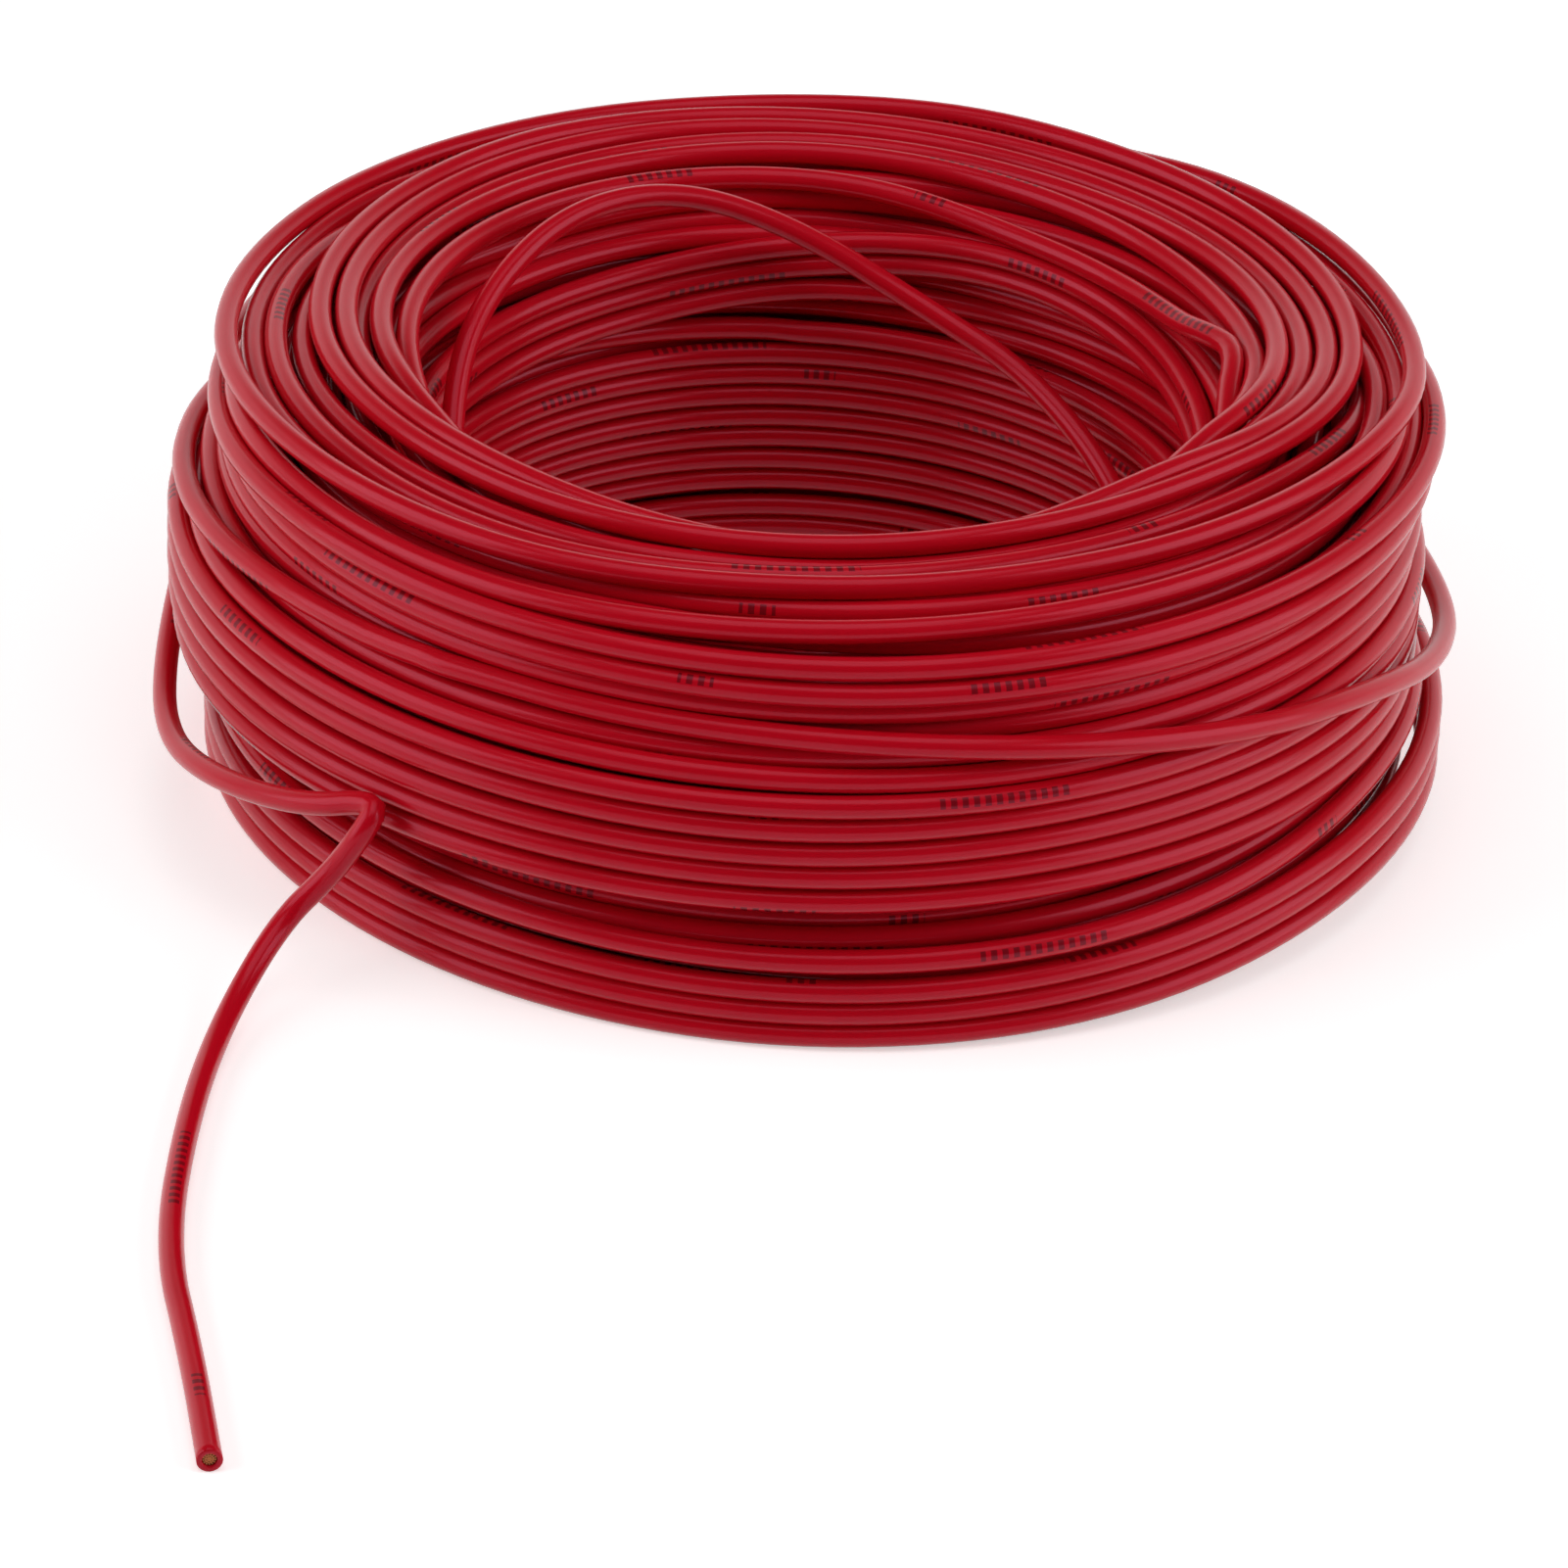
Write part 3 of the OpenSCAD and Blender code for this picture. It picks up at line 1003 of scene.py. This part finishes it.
@dataclass(frozen=True)
class PaleFloor:
    """Matt white paper sweep. It shows white and keeps the object's soft shadow."""

    name: str = "matt_white_paper"
    colour: str = "f6f6f6"
    roughness: float = 0.6
    gloss: float = 0.2
    lift: float = 0.5

    def build(self) -> bpy.types.Material:
        """Makes the material, which is lifted to white where it is seen, also in reflections.

        Returns:
            The new material.
        """
        material, tree = new_material(self.name)
        rays = add_node(tree, "ShaderNodeLightPath").outputs
        seen = calculate(tree, "MAXIMUM", rays["Is Camera Ray"], rays["Is Glossy Ray"])
        seen = calculate(tree, "MAXIMUM", seen, rays["Is Transmission Ray"])
        lift = calculate(tree, "MULTIPLY", seen, self.lift)
        shader = add_node(
            tree, "ShaderNodeBsdfPrincipled",
            {"Base Color": linear(self.colour), "Roughness": self.roughness,
             "Specular IOR Level": self.gloss, "Emission Color": WHITE,
             "Emission Strength": lift},
        )
        add_node(tree, "ShaderNodeOutputMaterial", {"Surface": shader.outputs[0]})
        return material


# ---------------------------------------------------------------------------------------------
# Meshes of the wire
# ---------------------------------------------------------------------------------------------


@dataclass
class Tube:
    """A length of wire as a round tube along a path, in millimetres."""

    path: np.ndarray
    before: np.ndarray | None = None
    after: np.ndarray | None = None
    sides: int = 12
    start_length: float = 0.0
    bored_end: bool = False
    bevel: float = 0.08
    wire: Wire = field(default_factory=Wire)

    def rings(self) -> tuple[np.ndarray, np.ndarray]:
        """Lays rings of points square to the path.

        Where another length goes on from an end, its next point sets how that end's ring lies,
        so that the two lengths meet without a crack.

        Returns:
            The rings' points, and the length along the path at each ring.
        """
        path = self.path
        ahead = np.gradient(path, axis=0)
        if self.before is not None:
            ahead[0] = path[1] - self.before
        if self.after is not None:
            ahead[-1] = self.after - path[-2]
        ahead /= np.linalg.norm(ahead, axis=1)[:, None]
        side = np.cross(ahead, [0.0, 0.0, 1.0])
        side /= np.linalg.norm(side, axis=1)[:, None]
        up = np.cross(side, ahead)
        turn = 2 * math.pi * np.arange(self.sides) / self.sides
        across = side[:, None] * np.cos(turn)[None, :, None]
        out = across + up[:, None] * np.sin(turn)[None, :, None]
        return path[:, None] + self.wire.radius * out, run_along(path)

    def build(self, name: str) -> bpy.types.Object:
        """Makes the mesh object, with its ends closed or bored and its own UV map.

        Args:
            name: The object's name.

        Returns:
            The new object, at the origin.
        """
        rings, run = self.rings()
        loops = [rings]
        lengths = [run]
        if self.bored_end:
            tip, back = rings[-1], self.path[-2] - self.path[-1]
            back /= np.linalg.norm(back)
            middle = self.path[-1]
            spokes = (tip - middle) / self.wire.radius
            bevel, bore = self.bevel, self.wire.bore / 2
            rings[-1] = tip + back * bevel
            steps = [(self.wire.radius - bevel, 0.0), (bore + bevel, 0.0), (bore, bevel),
                     (bore, self.wire.cut_depth)]
            extra = [middle + spokes * r + back * d for r, d in steps]
            loops.append(np.array(extra))
            lengths.append(np.full(len(extra), run[-1]))
        points = np.concatenate(loops).reshape(-1, 3)
        lengths = np.concatenate(lengths) + self.start_length
        return self.mesh_object(name, points, lengths)

    def mesh_object(self, name: str, points: np.ndarray, lengths: np.ndarray) -> bpy.types.Object:
        """Joins rings of points into a closed tube.

        Args:
            name: The object's name.
            points: All the rings' points, in millimetres.
            lengths: The length along the wire at each ring.

        Returns:
            The new object.
        """
        sides, count = self.sides, len(lengths)
        ring = np.arange(count - 1)[:, None] * sides
        near = np.arange(sides)[None, :]
        far = (near + 1) % sides
        quads = np.stack([ring + near, ring + far, ring + sides + far, ring + sides + near], -1)
        quads = quads.reshape(-1, 4)
        # Quads between the rings come first, then a cap at each end.
        start_cap = np.arange(sides)[::-1]
        end_cap = (count - 1) * sides + np.arange(sides)
        corners = np.concatenate([quads.ravel(), start_cap, end_cap])
        totals = np.concatenate([np.full(len(quads), 4), [sides, sides]])
        starts = np.concatenate([[0], np.cumsum(totals)[:-1]])
        mesh = bpy.data.meshes.new(name)
        mesh.vertices.add(len(points))
        mesh.vertices.foreach_set("co", (points * MM).astype(np.float32).ravel())
        mesh.loops.add(len(corners))
        mesh.loops.foreach_set("vertex_index", corners.astype(np.int32))
        mesh.polygons.add(len(totals))
        mesh.polygons.foreach_set("loop_start", starts.astype(np.int32))
        mesh.update(calc_edges=True)
        # The caps' rims are sharp.
        ends = np.empty(2 * len(mesh.edges), np.int32)
        mesh.edges.foreach_get("vertices", ends)
        ring_of = ends.reshape(-1, 2) // sides
        rims = (ring_of == 0).all(1) | (ring_of == count - 1).all(1)
        mesh.attributes.new("sharp_edge", "BOOLEAN", "EDGE").data.foreach_set("value", rims)
        u = lengths[corners // sides]
        v = (corners % sides) / sides
        # The last quad round the wire takes the far edge of the map, not its start.
        wraps = np.zeros(len(corners), bool)
        quad_far = np.tile(near == sides - 1, (count - 1, 1)).reshape(-1)
        for k in (1, 2):
            wraps[k:len(quads) * 4:4] = quad_far
        v = np.where(wraps, 1.0, v)
        uv_map = mesh.uv_layers.new(name="along_wire")
        uv_map.data.foreach_set("uv", np.stack([u, v], axis=1).astype(np.float32).ravel())
        smooth = np.ones(len(totals), bool)
        smooth[-2:] = False
        mesh.polygons.foreach_set("use_smooth", smooth)
        mesh.validate()
        made = bpy.data.objects.new(name, mesh)
        bpy.context.scene.collection.objects.link(made)
        return made


@dataclass
class WireCoil:
    """The whole object: the coiled length in a few pieces, and the two free ends."""

    wire: Wire = field(default_factory=Wire)
    winding: Winding = field(default_factory=Winding)
    outer: OuterRoute = field(default_factory=OuterRoute)
    inner: InnerRoute = field(default_factory=InnerRoute)
    free_step: float = 1.0
    sides: int = 12
    end_sides: int = 20

    def build(self, pvc: bpy.types.Material, copper: bpy.types.Material) -> None:
        """Builds and dresses every piece, and attaches each to the root body.

        Args:
            pvc: The insulation's material.
            copper: The strands' material.
        """
        outer = resample(self.outer.points() / MM, self.free_step)
        inner = resample(self.inner.points() / MM, self.free_step)
        self.winding.lay([outer, inner])
        last = len(self.winding.places) - 1
        first_step = self.winding.points(0, 1)[1]
        last_step = self.winding.points(last - 1, last)[-2]
        self.add_end("wire_outer_end", outer, last_step, pvc, "outer_end")
        self.add_end("wire_inner_end", inner, first_step, pvc, "inner_end")
        for node in ("outer_strands", "inner_strands"):
            self.dress_strands(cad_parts[node], copper)
        for name, start, end, nodes in self.lengths():
            before = self.winding.points(start - 1, start)[-2] if start else inner[1]
            after = self.winding.points(end, end + 1)[1] if end < last else outer[1]
            self.add_coiled(name, (start, end), (before, after), nodes, pvc)

    def lengths(self) -> list[tuple[str, int, int, tuple[str, ...]]]:
        """Divides the coiled length into its pieces.

        Returns:
            Name, first station, last station and replaced nodes of each piece.
        """
        w = self.winding
        middle = (w.buried_from + w.outer_from) // 2
        side = w.outer_from + len(w.top.rows) * w.planes
        last = len(w.places) - 1
        return [
            ("wire_eye_turns", 0, w.buried_from, ("eye_turns",)),
            ("wire_buried_turns_1", w.buried_from, middle, ("coil_core",)),
            ("wire_buried_turns_2", middle, w.outer_from, ()),
            ("wire_top_turns", w.outer_from, side, ("upper_turns",)),
            ("wire_side_turns", side, last, ("foot_turns",)),
        ]

    def add_end(self, name: str, path: np.ndarray, before: np.ndarray, pvc: bpy.types.Material,
                node: str) -> None:
        """Adds a free end with its bored cut.

        Args:
            name: The piece's name.
            path: Its centreline in millimetres.
            before: The coiled length's last point before it.
            pvc: The insulation's material.
            node: The CAD node that it replaces.
        """
        tube = Tube(path, before, sides=self.end_sides, bored_end=True, wire=self.wire)
        piece = tube.build(name)
        piece.data.materials.append(pvc)
        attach(piece, "root")
        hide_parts(node)

    def add_coiled(self, name: str, span: tuple[int, int], beyond: tuple[np.ndarray, np.ndarray],
                   nodes: tuple[str, ...], pvc: bpy.types.Material) -> None:
        """Adds a coiled length.

        Args:
            name: The piece's name.
            span: Its first and last station in the winding.
            beyond: The wire's next point before it and after it.
            nodes: The CAD nodes that it replaces.
            pvc: The insulation's material.
        """
        start, end = span
        path = self.winding.points(start, end)
        before = self.winding.points(0, start) if start else path[:1]
        tube = Tube(path, *beyond, sides=self.sides, start_length=length_of(before),
                    wire=self.wire)
        piece = tube.build(name)
        piece.data.materials.append(pvc)
        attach(piece, "root")
        if nodes:
            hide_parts(*nodes)

    def dress_strands(self, node: bpy.types.Object, copper: bpy.types.Material) -> None:
        """Gives a CAD node of copper strands its finish.

        Args:
            node: The strands.
            copper: The strands' material.
        """
        node.data.materials.clear()
        node.data.materials.append(copper)
        log.info("%s: dressed", node.name)


# ---------------------------------------------------------------------------------------------
# Studio
# ---------------------------------------------------------------------------------------------


@dataclass(frozen=True)
class Lamp:
    """A square soft lamp that faces the coil, with its side in metres and its power in watts."""

    name: str
    size: float
    power: float
    place: tuple[float, float, float]

    def build(self) -> None:
        """Hangs the lamp in its place and turns it to the coil."""
        data = bpy.data.lights.new(self.name, "AREA")
        data.size, data.energy = self.size, self.power
        lamp = bpy.data.objects.new(self.name, data)
        bpy.context.scene.collection.objects.link(lamp)
        lamp.location = self.place
        towards = -lamp.location
        lamp.rotation_mode = "QUATERNION"
        lamp.rotation_quaternion = towards.to_track_quat("-Z", "Y")


@dataclass
class Studio:
    """Camera, lamps, world and floor. Lengths are in metres and angles in degrees."""

    focal_px: float = 8000.0
    frame_px: float = 1601.0
    origin_px: tuple[float, float] = (813.0, 749.0)
    distance: float = 0.944
    elevation: float = 28.6
    roll: float = 2.9
    sensor: float = 36.0
    clip: tuple[float, float] = (0.01, 20.0)
    room_low: float = 0.03
    room_high: float = 1.0
    # Where the room's pale band begins and is full: towards the back, and down from the top.
    back_range: tuple[float, float] = (-0.1, 0.6)
    band_range: tuple[float, float] = (0.64, 0.38)
    floor_size: float = 6.0
    lamps: tuple[Lamp, ...] = (
        Lamp("top_lamp", 1.0, 4.2, (0.0, -0.2, 1.2)),
        Lamp("left_lamp", 1.1, 8.5, (-1.2, -0.3, 0.6)),
        Lamp("right_lamp", 1.1, 8.5, (1.2, -0.3, 0.6)),
    )

    def build(self, floor_finish: bpy.types.Material) -> None:
        """Sets up the whole studio.

        Args:
            floor_finish: The floor's material.
        """
        self.add_camera()
        self.add_world()
        for lamp in self.lamps:
            lamp.build()
        self.add_floor(floor_finish)
        bpy.context.scene.view_settings.view_transform = "Standard"
        log.info("studio: camera, world, lamps and floor")

    def add_camera(self) -> None:
        """Adds the camera, which looks at the coil from the front and above."""
        data = bpy.data.cameras.new("camera")
        data.sensor_width = self.sensor
        data.lens = self.focal_px / self.frame_px * self.sensor
        middle = self.frame_px / 2
        data.shift_x = (middle - self.origin_px[0]) / self.frame_px
        data.shift_y = (self.origin_px[1] - middle) / self.frame_px
        data.clip_start, data.clip_end = self.clip
        camera = bpy.data.objects.new("camera", data)
        bpy.context.scene.collection.objects.link(camera)
        e, roll = math.radians(self.elevation), math.radians(self.roll)
        right = np.array([1.0, 0.0, 0.0])
        up = np.array([0.0, math.sin(e), math.cos(e)])
        back = np.array([0.0, -math.cos(e), math.sin(e)])
        turned_right = math.cos(roll) * right + math.sin(roll) * up
        turned_up = math.cos(roll) * up - math.sin(roll) * right
        matrix = np.eye(4)
        matrix[:3, 0], matrix[:3, 1], matrix[:3, 2] = turned_right, turned_up, back
        matrix[:3, 3] = back * self.distance
        camera.matrix_world = Matrix(matrix.tolist())
        bpy.context.scene.camera = camera

    def add_world(self) -> None:
        """Adds the room: a pale band behind the coil and to its sides, dim elsewhere."""
        world = bpy.data.worlds.new("studio")
        bpy.context.scene.world = world
        world.use_nodes = True
        tree = world.node_tree
        tree.nodes.clear()
        coords = add_node(tree, "ShaderNodeTexCoord")
        split = add_node(tree, "ShaderNodeSeparateXYZ", {0: coords.outputs["Generated"]})
        behind, band = (
            add_node(
                tree, "ShaderNodeMapRange",
                {"Value": split.outputs[axis], "From Min": start, "From Max": full},
                interpolation_type="SMOOTHSTEP",
            ).outputs[0]
            for axis, (start, full) in (("Y", self.back_range), ("Z", self.band_range))
        )
        both = calculate(tree, "MULTIPLY", behind, band)
        level = ranged(tree, both, self.room_low, self.room_high)
        light = add_node(tree, "ShaderNodeBackground", {"Color": WHITE, "Strength": level})
        add_node(tree, "ShaderNodeOutputWorld", {"Surface": light.outputs[0]})

    def add_floor(self, finish: bpy.types.Material) -> None:
        """Adds the floor, which isn't part of the object.

        Args:
            finish: The floor's material.
        """
        bpy.ops.object.select_all(action="DESELECT")
        bpy.ops.mesh.primitive_plane_add(size=self.floor_size, location=(0, 0, 0))
        floor = bpy.context.object
        floor.name = "floor"
        floor.data.materials.append(finish)


def main() -> None:
    """Builds the studio and the coil."""
    logging.basicConfig(level=logging.INFO, format="%(name)s: %(message)s")
    Studio().build(PaleFloor().build())
    WireCoil().build(ExtrudedPvc().build(), BrightCopper().build())


if __name__ == "__main__":
    main()
